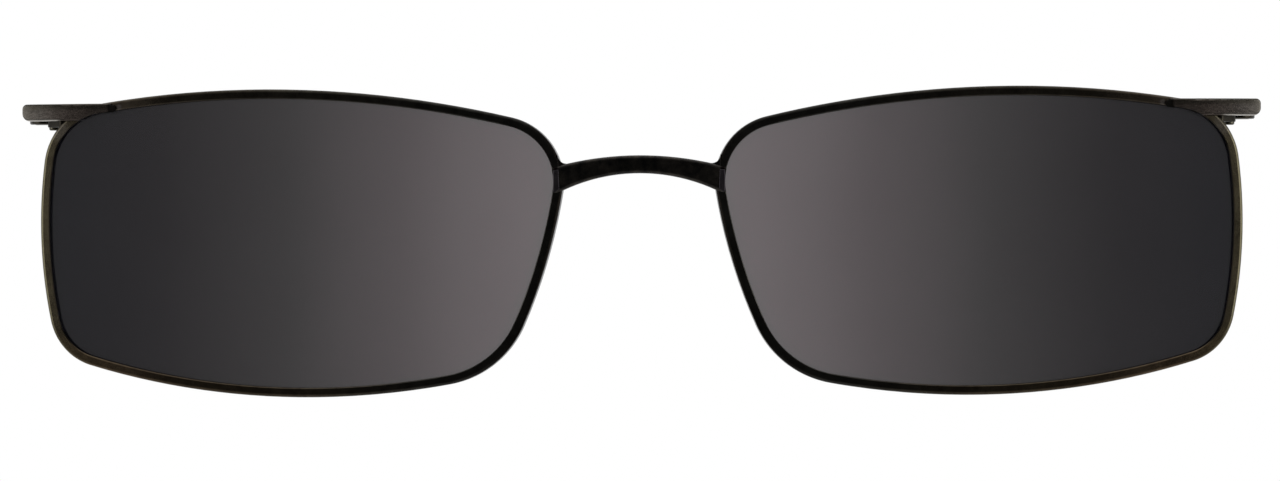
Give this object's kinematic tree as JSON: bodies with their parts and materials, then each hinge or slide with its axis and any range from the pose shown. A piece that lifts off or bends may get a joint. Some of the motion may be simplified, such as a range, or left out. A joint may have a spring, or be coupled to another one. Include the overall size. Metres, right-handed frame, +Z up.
{
  "type": "clip on sunglasses",
  "caption": "Slim magnetic clip-on sunglasses with dark, softly rectangular lenses in thin metal rims, an arched bridge and rearward magnet arms at the temple corners.",
  "frame": {"origin": "centre of the overall bounding box: X = 0 is the plane of symmetry and Z = 0 is the middle of the lens height", "axes": "+Z up as worn; the fronts of the lenses face -Y; +X is the viewer's right, which is the wearer's left. Node names ending in _right are on the +X side"},
  "size_m": [0.127, 0.0118, 0.0314],
  "materials": {
    "dark_metal": "satin black-olive coating",
    "tinted_lens": "polished dark grey tint",
    "screw_steel": "blackened steel",
    "magnet_plating": "satin nickel plate"
  },
  "bodies": {
    "root": {"bridge": "dark_metal", "lens_left": "tinted_lens", "lens_right": "tinted_lens", "rim_left": "dark_metal", "rim_right": "dark_metal", "end_piece_left": "dark_metal", "end_piece_right": "dark_metal", "rim_lock_upper_left": "dark_metal", "rim_lock_upper_right": "dark_metal", "rim_lock_lower_left": "dark_metal", "rim_lock_lower_right": "dark_metal", "rim_lock_screw_left": "screw_steel", "rim_lock_screw_right": "screw_steel", "magnet_arm_left": "dark_metal", "magnet_arm_right": "dark_metal", "magnet_cup_left": "dark_metal", "magnet_cup_right": "dark_metal", "magnet_left": "magnet_plating", "magnet_right": "magnet_plating"}
  },
  "joints": []
}
